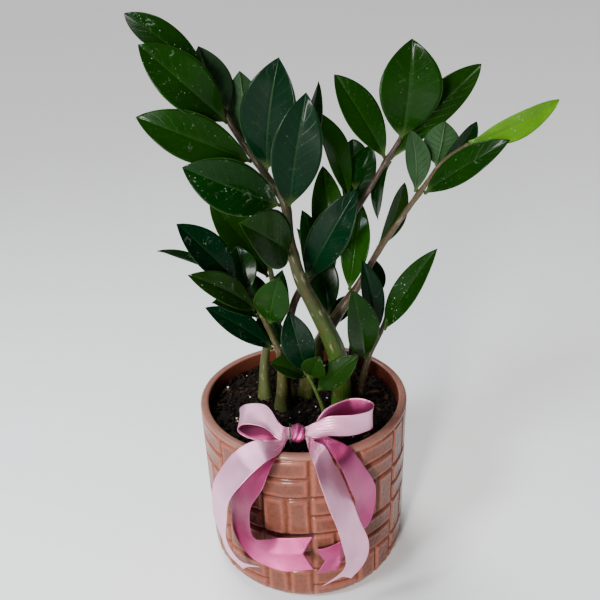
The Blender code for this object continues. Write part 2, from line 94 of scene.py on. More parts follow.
# Each leaflet: stem, place along it, compass heading and rise in degrees, length and width in mm,
# and the roll of its face away from LIGHT in degrees (near 180 shows the underside)
LEAVES = {
    "leaf_tall_tip": ("stem_tall", 1.0, 162, 36, 62, 20, 8),
    "leaf_tall_left_1": ("stem_tall", 0.89, 203, 44, 64, 27, -10),
    "leaf_tall_left_2": ("stem_tall", 0.78, 192, 25, 70, 26, -20),
    "leaf_tall_left_3": ("stem_tall", 0.65, 198, 27, 63, 29, -22),
    "leaf_tall_left_4": ("stem_tall", 0.52, 240, 34, 61, 31, -15),
    "leaf_tall_right_1": ("stem_tall", 0.74, 304, 73, 66, 31, -4),
    "leaf_tall_right_2": ("stem_tall", 0.64, 312, 75, 69, 27, 15),
    "leaf_tall_back_1": ("stem_tall", 0.91, 133, 58, 44, 24, 180),
    "leaf_tall_back_2": ("stem_tall", 0.82, 100, 60, 46, 24, 180),
    "leaf_tall_back_3": ("stem_tall", 0.7, 27, 61, 64, 22, 75),
    "leaf_right_low": ("stem_right", 0.47, 344, 61, 72, 24, 6),
    "leaf_right_left": ("stem_right", 0.93, 176, 58, 60, 22, 0),
    "leaf_right_tip": ("stem_right", 1.0, 304, 84, 58, 36, 8),
    "leaf_right_side": ("stem_right", 0.94, 20, 40, 83, 22, -8),
    "leaf_right_hanging": ("stem_right", 0.92, 110, -72, 44, 14, 60),
    "leaf_back_front": ("stem_back", 0.96, 204, 67, 65, 24, 32),
    "leaf_back_tip": ("stem_back", 1.0, 88, 46, 40, 18, 0),
    "leaf_back_left_1": ("stem_back", 0.62, 100, 76, 70, 22, 0),
    "leaf_back_left_2": ("stem_back", 0.4, 190, 76, 64, 18, 40),
    "leaf_far_low": ("stem_far_right", 0.41, 60, 72, 61, 19, -12),
    "leaf_far_root": ("stem_far_right", 0.26, 50, 32, 30, 13, 0),
    "leaf_far_inner_1": ("stem_far_right", 0.58, 50, 50, 50, 17, 45),
    "leaf_far_inner_2": ("stem_far_right", 0.8, 202, 82, 38, 17, 134),
    "leaf_far_outer_1": ("stem_far_right", 0.81, 328, 36, 60, 18, 0),
    "leaf_far_outer_2": ("stem_far_right", 0.9, 5, 50, 32, 14, 50),
    "leaf_far_inner_3": ("stem_far_right", 0.89, 54, 70, 27, 21, 170),
    "leaf_far_tip": ("stem_far_right", 1.0, 353, 26, 53, 18, 62),
    "leaf_back_low": ("stem_back_left", 0.73, 166, 54, 64, 26, 12),
    "leaf_left_1": ("stem_left", 0.95, 198, 52, 54, 22, 12),
    "leaf_left_2": ("stem_left", 0.84, 118, 62, 31, 18, 0),
    "leaf_left_3": ("stem_left", 0.94, 174, 26, 53, 13, 52),
    "leaf_left_4": ("stem_left", 0.74, 221, 39, 60, 18, 8),
    "leaf_left_5": ("stem_left", 0.68, 200, 28, 34, 18, 40),
    "leaf_left_6": ("stem_left", 0.44, 185, 39, 55, 18, 18),
    "leaf_left_7": ("stem_left", 0.61, 308, 70, 40, 22, 0),
    "leaf_young_tip": ("stem_young", 1.0, 157, 76, 47, 21, -6),
    "leaf_young_1": ("stem_young", 0.9, 305, 64, 23, 16, 0),
    "leaf_young_2": ("stem_young", 0.55, 345, 47, 42, 16, 0),
    "leaf_young_3": ("stem_young", 0.95, 195, 32, 29, 17, 35),
    "leaf_low_right_1": ("stem_low_right", 0.42, 242, 68, 68, 23, 12),
    "leaf_low_right_2": ("stem_low_right", 0.71, 203, 77, 57, 15, 12),
    "leaf_low_right_3": ("stem_low_right", 0.76, 328, 62, 73, 17, -18),
    "leaf_low_front_tip": ("stem_low_front", 1.0, 69, 62, 30, 16, 0),
}

# The blade's green and how dusty or water-marked it is
DEEP = (3, 38, 17)
DARK = (8, 46, 5)
MID = (17, 56, 3)
WARM = (24, 66, 1)
BRIGHT = (30, 84, 1)
LIME = (92, 150, 14)
FRESH = (30, 62, 14)
TONES = {
    "leaf_tall_tip": (MID, 0.6), "leaf_tall_left_1": (MID, 0.35), "leaf_tall_left_2": (MID, 0.3),
    "leaf_tall_left_3": (DARK, 0.35), "leaf_tall_left_4": (WARM, 0.1), "leaf_tall_right_1": (DEEP, 0.05),
    "leaf_tall_right_2": (DEEP, 0.05), "leaf_tall_back_1": (DARK, 0.2), "leaf_tall_back_2": (DARK, 0.2),
    "leaf_tall_back_3": (DARK, 0.1), "leaf_right_low": (DEEP, 0.1), "leaf_right_left": (MID, 0.15),
    "leaf_right_tip": (MID, 0.1), "leaf_right_side": (WARM, 0.1), "leaf_right_hanging": (DARK, 0.1),
    "leaf_back_front": (BRIGHT, 0.0), "leaf_back_tip": (DARK, 0.0), "leaf_back_left_1": (WARM, 0.1),
    "leaf_back_left_2": (WARM, 0.1), "leaf_far_low": (BRIGHT, 0.0), "leaf_far_root": (DARK, 0.0),
    "leaf_far_inner_1": (FRESH, 0.1), "leaf_far_inner_2": (DARK, 0.0), "leaf_far_inner_3": (MID, 0.0),
    "leaf_far_outer_1": (MID, 0.2), "leaf_far_outer_2": (DARK, 0.2), "leaf_far_tip": (LIME, 0.8),
    "leaf_back_low": (WARM, 0.1), "leaf_left_1": (DEEP, 0.3), "leaf_left_2": (DARK, 0.1),
    "leaf_left_3": (DARK, 0.2), "leaf_left_4": (FRESH, 0.9), "leaf_left_5": (DARK, 0.1),
    "leaf_left_6": (DEEP, 0.3), "leaf_left_7": (MID, 0.2), "leaf_young_tip": (DEEP, 0.3),
    "leaf_young_1": (FRESH, 0.2), "leaf_young_2": (FRESH, 0.3), "leaf_young_3": (FRESH, 0.1),
    "leaf_low_right_1": (MID, 0.2), "leaf_low_right_2": (DEEP, 0.1), "leaf_low_right_3": (MID, 0.5),
    "leaf_low_front_tip": (DARK, 0.0),
}
# Small inner blades, half hidden among the others
INNER = {
    "leaflet_inner_1": ("stem_back", 0.42, 205, 80, 74, 22, 20),
    "leaflet_inner_2": ("stem_back", 0.9, 25, 66, 46, 20, 0),
    "leaflet_inner_3": ("stem_far_right", 0.3, 120, 72, 50, 20, 0),
    "leaflet_inner_4": ("stem_back_left", 0.5, 205, 66, 42, 20, 0),
    "leaflet_inner_5": ("stem_back_left", 0.4, 335, 76, 52, 18, 0),
    "leaflet_inner_6": ("stem_right", 0.2, 160, 70, 36, 16, 0),
}
# Each petiole's colour at the soil, half way and at the tip
PETIOLES = {
    "stem_tall": ((46, 76, 20), (44, 50, 22), (44, 34, 24)),
    "stem_right": ((66, 58, 36), (56, 38, 28), (46, 34, 26)),
    "stem_far_right": ((76, 84, 42), (60, 46, 32), (66, 60, 38)),
    "stem_back": ((50, 58, 28), (44, 48, 22), (44, 44, 22)),
    "stem_back_left": ((66, 76, 38), (52, 54, 28), (48, 62, 26)),
    "stem_left": ((74, 78, 42), (66, 62, 34), (44, 48, 22)),
    "stem_low_right": ((54, 44, 30), (50, 44, 28), (42, 48, 22)),
    "stem_low_front": ((66, 50, 36), (58, 42, 28), (44, 44, 22)),
    "stem_young": ((84, 100, 48), (70, 92, 38), (60, 90, 32)),
}


# ---------------------------------------------------------------- tools

def linear(color):
    """An 8-bit display colour as linear light."""
    return tuple((c / 255 / 12.92) if c < 11 else ((c / 255 + 0.055) / 1.055) ** 2.4 for c in color)


def ramp(value, low, high):
    """0 at low and before, 1 at high and after, eased between."""
    t = np.clip((value - low) / (high - low), 0.0, 1.0)
    return t * t * (3 - 2 * t)


def grid_faces(rows, cols, start=0, closed=False, flip=False):
    """Quads over a grid of points stored row by row."""
    faces = []
    for r in range(rows - 1):
        for c in range(cols if closed else cols - 1):
            d = (c + 1) % cols
            quad = (start + r * cols + c, start + r * cols + d,
                    start + (r + 1) * cols + d, start + (r + 1) * cols + c)
            faces.append(quad[::-1] if flip else quad)
    return faces


def add_piece(name, points, faces, looks, stands_for=(), slots=None, uv=None, values=None):
    """A smooth mesh piece that rides on the body, with its materials, UVs and point attributes."""
    mesh = bpy.data.meshes.new(name)
    mesh.from_pydata([tuple(p) for p in np.asarray(points, float)], [], [tuple(map(int, f)) for f in faces])
    mesh.update()
    mesh.shade_smooth()
    for look in looks:
        mesh.materials.append(look)
    if slots is not None:
        mesh.polygons.foreach_set("material_index", np.asarray(slots, np.int32))
    if uv is not None:
        layer = mesh.uv_layers.new(name="UVMap")
        corners = np.zeros(len(mesh.loops), np.int32)
        mesh.loops.foreach_get("vertex_index", corners)
        layer.data.foreach_set("uv", np.asarray(uv, np.float32)[corners].ravel())
    for key, data in (values or {}).items():
        data = np.asarray(data, np.float32)
        if data.ndim == 1:
            mesh.attributes.new(key, "FLOAT", "POINT").data.foreach_set("value", data)
        else:
            rgba = np.ones((len(data), 4), np.float32)
            rgba[:, :3] = data
            mesh.attributes.new(key, "FLOAT_COLOR", "POINT").data.foreach_set("color", rgba.ravel())
    obj = bpy.data.objects.new(name, mesh)
    bpy.context.scene.collection.objects.link(obj)
    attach(obj, "root")
    if stands_for:
        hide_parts(*stands_for)
    return obj


class Look:
    """A node material and short calls that add nodes to it."""

    def __init__(self, name, **sockets):
        self.material = bpy.data.materials.new(name)
        self.material.use_nodes = True
        self.nodes = self.material.node_tree.nodes
        self.links = self.material.node_tree.links
        self.shader = self.nodes["Principled BSDF"]
        for key, value in sockets.items():
            self.put(self.shader.inputs[key.replace("_", " ")], value)

    def put(self, socket, value):
        if isinstance(value, bpy.types.NodeSocket):
            self.links.new(value, socket)
        elif isinstance(value, tuple) and socket.type == "RGBA":
            socket.default_value = (*value[:3], 1.0)
        else:
            socket.default_value = value

    def math(self, kind, a, b=0.0, c=0.0, clamp=False):
        node = self.nodes.new("ShaderNodeMath")
        node.operation = kind
        node.use_clamp = clamp
        for socket, value in zip(node.inputs, (a, b, c)):
            self.put(socket, value)
        return node.outputs[0]

    def smooth(self, value, low, high, start=0.0, end=1.0):
        node = self.nodes.new("ShaderNodeMapRange")
        node.interpolation_type = "SMOOTHSTEP"
        for socket, item in zip(node.inputs, (value, low, high, start, end)):
            self.put(socket, item)
        return node.outputs[0]

    def mix(self, share, a, b, blend="MIX"):
        node = self.nodes.new("ShaderNodeMix")
        node.data_type = "RGBA"
        node.blend_type = blend
        self.put(node.inputs[0], share)
        self.put(node.inputs[6], a)
        self.put(node.inputs[7], b)
        return node.outputs[2]

    def dim(self, color, factor):
        node = self.nodes.new("ShaderNodeVectorMath")
        node.operation = "SCALE"
        self.put(node.inputs[0], color)
        self.put(node.inputs["Scale"], factor)
        return node.outputs[0]

    def place(self, stretch=(1, 1, 1), use_uv=False):
        coordinates = self.nodes.new("ShaderNodeTexCoord")
        mapping = self.nodes.new("ShaderNodeMapping")
        mapping.inputs["Scale"].default_value = stretch
        self.links.new(coordinates.outputs["UV" if use_uv else "Object"], mapping.inputs["Vector"])
        return mapping.outputs[0]

    def uv(self):
        coordinates = self.nodes.new("ShaderNodeTexCoord")
        parts = self.nodes.new("ShaderNodeSeparateXYZ")
        self.links.new(coordinates.outputs["UV"], parts.inputs[0])
        return parts.outputs[0], parts.outputs[1]

    def noise(self, scale, detail=3.0, rough=0.55, where=None, bend=0.0):
        node = self.nodes.new("ShaderNodeTexNoise")
        self.put(node.inputs["Vector"], where or self.place())
        node.inputs["Scale"].default_value = scale
        node.inputs["Detail"].default_value = detail
        node.inputs["Roughness"].default_value = rough
        node.inputs["Distortion"].default_value = bend
        return node.outputs[0]

    def cells(self, scale, where=None, feature="F1"):
        node = self.nodes.new("ShaderNodeTexVoronoi")
        node.feature = feature
        self.put(node.inputs["Vector"], where or self.place())
        node.inputs["Scale"].default_value = scale
        return node.outputs["Distance"]

    def value(self, name, color=False):
        node = self.nodes.new("ShaderNodeAttribute")
        node.attribute_name = name
        return node.outputs["Color" if color else "Fac"]

    def bump(self, height, distance):
        node = self.nodes.new("ShaderNodeBump")
        node.inputs["Distance"].default_value = distance
        self.put(node.inputs["Height"], height)
        self.put(self.shader.inputs["Normal"], node.outputs[0])

    def finish(self, color=None, roughness=None):
        if color is not None:
            self.put(self.shader.inputs["Base Color"], color)
        if roughness is not None:
            self.put(self.shader.inputs["Roughness"], roughness)
        return self.material


# ---------------------------------------------------------------- materials

def veins(look, across, along, count, sweep):
    """Feathered side veins: 1 on a vein, 0 between."""
    wander = look.noise(30, 2)
    phase = look.math("MULTIPLY_ADD", along, count, look.math("MULTIPLY", wander, 0.9))
    phase = look.math("SUBTRACT", phase, look.math("MULTIPLY", across, sweep))
    wave = look.math("ABSOLUTE", look.math("SUBTRACT", look.math("FRACT", phase), 0.5))
    return look.smooth(wave, 0.41, 0.5)


def make_leaf_top():
    look = Look("leaf_top", Specular_IOR_Level=0.04, Coat_Weight=0.06, Coat_Roughness=0.1)
    u, along = look.uv()
    across = look.math("ABSOLUTE", look.math("MULTIPLY_ADD", u, 2.0, -1.0))
    tint = look.value("tint", color=True)
    dust = look.value("dust")
    broad = look.noise(38, 4)
    fine = look.noise(520, 3)
    vein = look.math("MULTIPLY", veins(look, across, along, 10.0, 2.0), look.smooth(across, 0.95, 0.55))
    rib = look.smooth(across, 0.05, 0.015)
    margin = look.smooth(across, 0.95, 0.99)
    color = look.dim(tint, look.math("MULTIPLY_ADD", broad, 0.5, 0.2))
    color = look.mix(look.math("MULTIPLY", vein, 0.06), color, linear((46, 76, 34)))
    color = look.mix(look.math("MULTIPLY", rib, 0.16), color, linear((50, 80, 34)))
    color = look.mix(look.math("MULTIPLY", margin, 0.3), color, linear((60, 84, 40)))
    dots = look.smooth(look.noise(700, 2), 0.67, 0.72)
    speck = look.math("MULTIPLY", dots, look.smooth(look.noise(70, 2), 0.5, 0.62))
    smear = look.smooth(look.noise(160, 5, 0.7, bend=1.0), 0.6, 0.75)
    mark = look.math("MAXIMUM", speck, look.math("MULTIPLY", smear, 0.35))
    mark = look.math("MULTIPLY", dust, mark, clamp=True)
    color = look.mix(mark, color, linear((190, 205, 185)))
    rough = look.math("MULTIPLY_ADD", fine, 0.12, 0.17)
    rough = look.math("ADD", rough, look.math("MULTIPLY", mark, 0.4))
    height = look.math("MULTIPLY", broad, 1.0)
    height = look.math("SUBTRACT", height, look.math("MULTIPLY", vein, 0.10))
    height = look.math("MULTIPLY_ADD", fine, 0.10, height)
    look.bump(height, 0.45 * MM)
    return look.finish(color, rough)


def make_leaf_under():
    look = Look("leaf_under", Specular_IOR_Level=0.06)
    u, along = look.uv()
    across = look.math("ABSOLUTE", look.math("MULTIPLY_ADD", u, 2.0, -1.0))
    tint = look.value("tint", color=True)
    vein = look.math("MULTIPLY", veins(look, across, along, 9.0, 2.0), look.smooth(across, 1.0, 0.5))
    rib = look.smooth(across, 0.09, 0.03)
    mottle = look.noise(90, 4, where=look.place((1, 1, 1)))
    color = look.mix(0.6, tint, linear((40, 56, 38)))
    color = look.dim(color, look.math("MULTIPLY_ADD", mottle, 0.8, 0.6))
    color = look.mix(look.math("MULTIPLY", vein, 0.5), color, linear((24, 36, 28)))
    color = look.mix(look.math("MULTIPLY", rib, 0.5), color, linear((66, 84, 54)))
    height = look.math("MULTIPLY_ADD", rib, 0.8, look.math("MULTIPLY", vein, 0.4))
    look.bump(look.math("MULTIPLY_ADD", mottle, 0.5, height), 0.5 * MM)
    return look.finish(color, look.math("MULTIPLY_ADD", mottle, 0.25, 0.38))


def make_petiole():
    look = Look("petiole_skin", Specular_IOR_Level=0.15, Coat_Weight=0.08, Coat_Roughness=0.2)
    tint = look.value("tint", color=True)
    streak = look.noise(6, 4, 0.6, look.place((9, 1.2, 1), use_uv=True))
    spots = look.smooth(look.noise(420, 3, 0.6), 0.58, 0.68)
    color = look.dim(tint, look.math("MULTIPLY_ADD", streak, 1.1, 0.45))
    color = look.mix(look.math("MULTIPLY", spots, 0.35), color, linear((40, 32, 24)))
    bark = look.smooth(look.noise(1.0, 4, 0.6, look.place((5, 5, 1), use_uv=True)), 0.5, 0.66)
    color = look.mix(look.math("MULTIPLY", bark, 0.5), color, linear((70, 44, 26)))
    pale = look.smooth(look.noise(1.3, 3, 0.5, look.place((6, 2.5, 1), use_uv=True)), 0.58, 0.7)
    color = look.mix(look.math("MULTIPLY", pale, 0.3), color, linear((158, 146, 122)))
    look.bump(streak, 0.5 * MM)
    return look.finish(color, look.math("MULTIPLY_ADD", spots, 0.2, 0.3))


def make_glaze():
    look = Look("reactive_glaze", Specular_IOR_Level=0.08, Coat_Weight=0.13, Coat_Roughness=0.06)
    pool = look.value("pool")
    upright = look.value("upright")
    level = look.value("level")
    inside = look.value("inside")
    cloud = look.noise(26, 4)
    fleck = look.noise(330, 4, 0.65)
    color = look.mix(look.smooth(look.math("MULTIPLY_ADD", cloud, 0.5, pool), 0.55, 1.2),
                     linear((128, 74, 60)), linear((104, 62, 50)))
    color = look.mix(look.math("MULTIPLY", level, 0.8), color, linear((48, 26, 22)))
    color = look.mix(look.math("MULTIPLY", upright, 0.75), color, linear((82, 44, 18)))
    tone = look.math("MULTIPLY_ADD", cloud, 0.3, 0.8)
    color = look.dim(color, look.math("MULTIPLY", tone, look.math("MULTIPLY_ADD", fleck, 0.5, 0.75)))
    color = look.mix(look.math("MULTIPLY", look.value("lip"), 0.5), color, linear((128, 98, 88)))
    color = look.mix(look.math("MULTIPLY", inside, 0.85), color, linear((74, 34, 24)))
    waves = look.math("MULTIPLY_ADD", fleck, 0.12, look.noise(110, 3))
    look.bump(waves, 0.35 * MM)
    return look.finish(color, look.math("MULTIPLY_ADD", fleck, 0.2, 0.18))


def make_earth():
    look = Look("potting_mix", Specular_IOR_Level=0.08)
    tint = look.value("tint", color=True)
    grain = look.noise(900, 5, 0.7)
    color = look.dim(tint, look.math("MULTIPLY_ADD", grain, 1.6, 0.2))
    look.bump(look.math("ADD", grain, look.noise(260, 4, 0.7)), 1.0 * MM)
    return look.finish(color, look.math("MULTIPLY_ADD", grain, 0.3, 0.65))


def make_perlite():
    look = Look("perlite", Specular_IOR_Level=0.3)
    pits = look.cells(1500)
    color = look.mix(pits, linear((235, 230, 220)), linear((170, 160, 145)))
    look.bump(pits, 0.3 * MM)
    return look.finish(color, look.math("MULTIPLY_ADD", pits, 0.2, 0.7))


def make_satin(name, body, glow, shade, edge):
    """Satin ribbon: fine crosswise ribs, a woven edge, and light that runs along its folds."""
    look = Look(name, Metallic=0.8, Specular_IOR_Level=0.6, Anisotropic=0.8,
                Anisotropic_Rotation=0.0, Sheen_Weight=0.1, Sheen_Roughness=0.35, Sheen_Tint=linear(glow))
    grain = look.nodes.new("ShaderNodeTangent")
    grain.direction_type = "UV_MAP"
    look.put(look.shader.inputs["Tangent"], grain.outputs[0])
    u, along = look.uv()
    across = look.math("ABSOLUTE", look.math("MULTIPLY_ADD", u, 2.0, -1.0))
    cloth = look.noise(60, 3, 0.5, look.place((1, 1, 1)))
    threads = look.noise(1.0, 2, 0.5, look.place((260, 6, 1), use_uv=True))
    color = look.mix(look.smooth(cloth, 0.3, 0.75), linear(body), linear(glow))
    color = look.mix(look.math("MULTIPLY", threads, 0.3), color, linear(shade))
    color = look.mix(look.smooth(across, 0.93, 0.97), color, linear(edge))
    wefts = look.math("SINE", look.math("MULTIPLY", along, 420.0))
    height = look.math("MULTIPLY_ADD", threads, 0.5, look.math("MULTIPLY", wefts, 0.25))
    look.bump(height, 0.05 * MM)
    return look.finish(color, look.math("MULTIPLY_ADD", threads, 0.12, 0.26))


def make_wire_look():
    look = Look("florist_wire_paint", Specular_IOR_Level=0.5)
    wear = look.noise(700, 3)
    color = look.mix(look.smooth(wear, 0.4, 0.7), linear((14, 26, 18)), linear((40, 56, 40)))
    look.bump(wear, 0.1 * MM)
    return look.finish(color, look.math("MULTIPLY_ADD", wear, 0.3, 0.3))


LEAF_TOP = make_leaf_top()
LEAF_UNDER = make_leaf_under()
PETIOLE = make_petiole()
GLAZE = make_glaze()
EARTH = make_earth()
PERLITE = make_perlite()
PALE = make_satin("satin_pale", (230, 168, 198), (238, 184, 210), (206, 136, 170), (236, 156, 184))
ROSE = make_satin("satin_rose_pink", (166, 62, 112), (178, 74, 124), (126, 36, 82), (178, 66, 114))
WIRE = make_wire_look()


# ---------------------------------------------------------------- pot

COLUMNS = 14
ROWS = 4
RELIEF_TOP = POT_HEIGHT - 3.2 * MM
FIRST_GROOVE = math.radians(1.5)
GROOVE_DEPTH = 1.7 * MM
SOFT_EDGE = 2.6


def relief(angle, height):
    """Depth below the blocks' tops, how deep into a block's field, and nearness to each groove."""
    row_height = RELIEF_TOP / ROWS / MM
    cell_width = math.tau / COLUMNS * RIM_RADIUS / MM
    wobble = 0.5 * np.sin(7 * angle + 90 * height) + 0.35 * np.sin(19 * angle - 210 * height)
    col = (angle - FIRST_GROOVE) / (math.tau / COLUMNS) + 0.012 * wobble
    row = (RELIEF_TOP - height) / MM / row_height + 0.012 * np.sin(11 * angle + 1)
    across, down = np.floor(col), np.clip(np.floor(row), 0, ROWS - 1)
    x = (col - across) * cell_width
    y = (row - down) * row_height
    flat = (across + down) % 2 == 1
    width = np.where(flat, cell_width, cell_width / 2)
    tall = np.where(flat, row_height / 2, row_height)
    x = np.where(flat, x, x % (cell_width / 2))
    y = np.where(flat, y % (row_height / 2), y)
    dx = np.minimum(x, width - x)
    dy = np.minimum(y, tall - y)
    corner = 2.6
    inset = np.where((dx < corner) & (dy < corner), corner - np.hypot(corner - dx, corner - dy),
                     np.minimum(dx, dy))
    inset = np.maximum(inset, 0)
    depth = 1 - ramp(inset, 0.0, SOFT_EDGE) + 0.16 * ramp(inset, 2.6, 5.5)
    return depth, ramp(inset, 1.0, 6.0), 1 - ramp(dx, 0.2, 1.5), 1 - ramp(dy, 0.2, 1.3)


def make_pot():
    sides = 700
    walls = np.linspace(2.5 * MM, POT_HEIGHT - 2.2 * MM, 190)
    profile = [(0.0, 0.0), (0.03, 0.0), (0.055, 0.0)]
    profile += [(FOOT_RADIUS - 12 * MM + 12 * MM * math.sin(a), 12 * MM - 12 * MM * math.cos(a))
                for a in np.linspace(0.15, 0.62, 5)]
    outer = len(profile)
    for z in walls:
        radius = FOOT_RADIUS + (RIM_RADIUS - FOOT_RADIUS) * z / POT_HEIGHT
        if z < 12 * MM:
            radius += math.sqrt(max((12 * MM) ** 2 - (12 * MM - z) ** 2, 0)) - 12 * MM
        profile.append((radius, z))
    end_of_wall = len(profile)
    profile += [(RIM_RADIUS - 2 * MM + 2 * MM * math.cos(a), POT_HEIGHT - 2 * MM + 2 * MM * math.sin(a))
                for a in np.linspace(0.1, math.pi / 2, 7)]
    profile += [(RIM_RADIUS - 4 * MM - 2 * MM * math.sin(a), POT_HEIGHT - 2 * MM + 2 * MM * math.cos(a))
                for a in np.linspace(0, math.pi / 2, 7)]
    start_of_inner = len(profile) - 3
    profile += [(RIM_RADIUS - 6 * MM, z) for z in (0.12, 0.115, 0.09, 0.05)]
    profile += [(RIM_RADIUS - 7 * MM, 0.02), (RIM_RADIUS - 14 * MM, 7 * MM), (0.0, 7 * MM)]
    profile = np.array(profile)
    angles = np.linspace(0, math.tau, sides, endpoint=False)
    radius = np.repeat(profile[:, :1], sides, 1)
    height = np.repeat(profile[:, 1:], sides, 1)
    turn = np.repeat(angles[None], len(profile), 0)
    depth, pool, upright, level = relief(turn, height)
    on_wall = np.zeros(len(profile))
    fade = 1 - ramp(walls, RELIEF_TOP - MM, RELIEF_TOP + 0.5 * MM)
    on_wall[outer:end_of_wall] = ramp(walls, 2.5 * MM, 5 * MM) * fade
    on_wall = on_wall[:, None]
    slump = 0.25 * MM * (np.sin(3 * turn + 1) + 0.6 * np.sin(5 * turn + 40 * height))
    radius = radius - GROOVE_DEPTH * depth * on_wall + np.where(radius > 0.05, slump - 0.4 * MM, 0)
    points = np.stack([radius * np.sin(turn), -radius * np.cos(turn), height], -1).reshape(-1, 3)
    inside = np.zeros(len(profile))
    inside[start_of_inner:] = 1
    lip = ramp(height, POT_HEIGHT - 3.4 * MM, POT_HEIGHT - 1.6 * MM).ravel()
    values = {"lip": lip * (1 - np.repeat(inside, sides)),
              "pool": (pool * on_wall + 0.25 * (1 - on_wall)).ravel(),
              "upright": (upright * on_wall).ravel(), "level": (level * on_wall).ravel(),
              "inside": np.repeat(inside, sides)}
    faces = grid_faces(len(profile), sides, closed=True, flip=False)
    return add_piece("pot_glazed", points, faces, [GLAZE], ("pot",), values=values)


# ---------------------------------------------------------------- soil

def rough_ground(x, y):
    """Height of the soil's surface above its mean level."""
    return (0.9 * np.sin(95 * x + 3) * np.cos(120 * y) + 0.7 * np.sin(210 * x - 160 * y)
            + 0.5 * np.sin(390 * x + 340 * y + 2)) * MM


def make_soil():
    rings, sides = 70, 220
    limit = RIM_RADIUS - 6.6 * MM
    share = np.linspace(0, 1, rings)[:, None] * np.ones(sides)
    turn = np.linspace(0, math.tau, sides, endpoint=False)[None] * np.ones((rings, 1))
    x, y = limit * share * np.cos(turn), limit * share * np.sin(turn)
    z = SOIL_TOP - 1.0 * MM + rough_ground(x, y) + rng.normal(0, 0.35 * MM, x.shape)
    z -= 2.5 * MM * ramp(share, 0.9, 1.0)
    points = np.stack([x, y, z], -1).reshape(-1, 3)
    wall = points[-sides:].copy()
    wall[:, 2] = 9 * MM
    wall[:, :2] *= 0.9
    base = wall.copy()
    base[:, :2] *= 0.02
    points = np.concatenate([points, wall, base])
    faces = grid_faces(rings + 2, sides, closed=True, flip=False)
    tint = np.array(linear((22, 16, 12))) * rng.uniform(0.6, 1.5, (len(points), 1))
    return add_piece("soil_bed", points, faces, [EARTH], ("soil",), values={"tint": tint})


def pebble():
    bm = bmesh.new()
    bmesh.ops.create_icosphere(bm, subdivisions=1, radius=1.0)
    points = np.array([v.co[:] for v in bm.verts])
    faces = np.array([[v.index for v in f.verts] for f in bm.faces])
    bm.free()
    return points, faces


def scattered(name, count, sizes, stretch, look, colors, reach, lift=0.3):
    """Small rough lumps strewn over the soil."""
    shape, shape_faces = pebble()
    all_points, all_faces, tints = [], [], []
    for i in range(count):
        size = rng.uniform(*sizes) * MM
        spin = Matrix.Rotation(rng.uniform(0, math.tau), 3, "Z")
        turn = spin @ Matrix.Rotation(rng.uniform(-0.5, 0.5), 3, "X")
        lump = shape * (1 + rng.normal(0, 0.16, (len(shape), 1))) * np.array(
            [rng.uniform(*stretch), rng.uniform(0.7, 1.1), rng.uniform(0.5, 0.9)]) * size / 2
        lump = lump @ np.array(turn).T
        distance = reach * math.sqrt(rng.uniform(0, 1))
        angle = rng.uniform(0, math.tau)
        x, y = distance * math.cos(angle), distance * math.sin(angle)
        z = SOIL_TOP - 1.0 * MM + float(rough_ground(x, y)) + size * lift
        all_faces.append(shape_faces + i * len(shape))
        all_points.append(lump + np.array([x, y, z]))
        color = np.array(linear(colors[i % len(colors)])) * rng.uniform(0.6, 1.3)
        tints.append(np.repeat(color[None], len(shape), 0))
    return add_piece(name, np.concatenate(all_points), np.concatenate(all_faces), [look],
                     values={"tint": np.concatenate(tints)})


# ---------------------------------------------------------------- petioles

def smooth_route(points, steps):
    """Points on a Catmull-Rom curve through the given ones."""
    first, last = points[0] * 2 - points[1], points[-1] * 2 - points[-2]
    padded = [first, *points, last]
    made = []
    for i in range(1, len(padded) - 2):
        a, b, c, d = padded[i - 1:i + 3]
        for k in range(steps):
            t = k / steps
            made.append(0.5 * ((2 * b) + (c - a) * t + (2 * a - 5 * b + 4 * c - d) * t * t
                               + (3 * b - a - 3 * c + d) * t ** 3))
    made.append(points[-1])
    return made


def stem_line(name, steps=2):
    return smooth_route([Vector(point) * MM for point in STEMS[name]], steps)


def place_on_stem(name, share):
    """Centre, direction and radius of the stem at a share of its length above the soil."""
    line = stem_line(name)[2:]
    lengths = [0.0]
    for a, b in zip(line, line[1:]):
        lengths.append(lengths[-1] + (b.xyz - a.xyz).length)
    wanted = share * lengths[-1]
    for i in range(len(line) - 1):
        if wanted <= lengths[i + 1] or i == len(line) - 2:
            t = (wanted - lengths[i]) / (lengths[i + 1] - lengths[i])
            place = line[i].lerp(line[i + 1], t)
            return place.xyz, (line[i + 1].xyz - line[i].xyz).normalized(), place[3]


def tube(route, radii, sides, ridges=0.0):
    """A tube's points row by row, with frames carried along without twisting."""
    directions = np.gradient(route, axis=0)
    directions /= np.linalg.norm(directions, axis=1, keepdims=True)
    side = np.array([1.0, 0.0, 0.0])
    turn = np.linspace(0, math.tau, sides, endpoint=False)
    rows = []
    for point, direction, radius in zip(route, directions, radii):
        side = side - direction * side.dot(direction)
        side /= np.linalg.norm(side)
        other = np.cross(direction, side)
        reach = radius * (1 + ridges * np.sin(turn * 5 + 1))
        rows.append(point + reach[:, None] * (np.cos(turn)[:, None] * side + np.sin(turn)[:, None] * other))
    return np.array(rows)


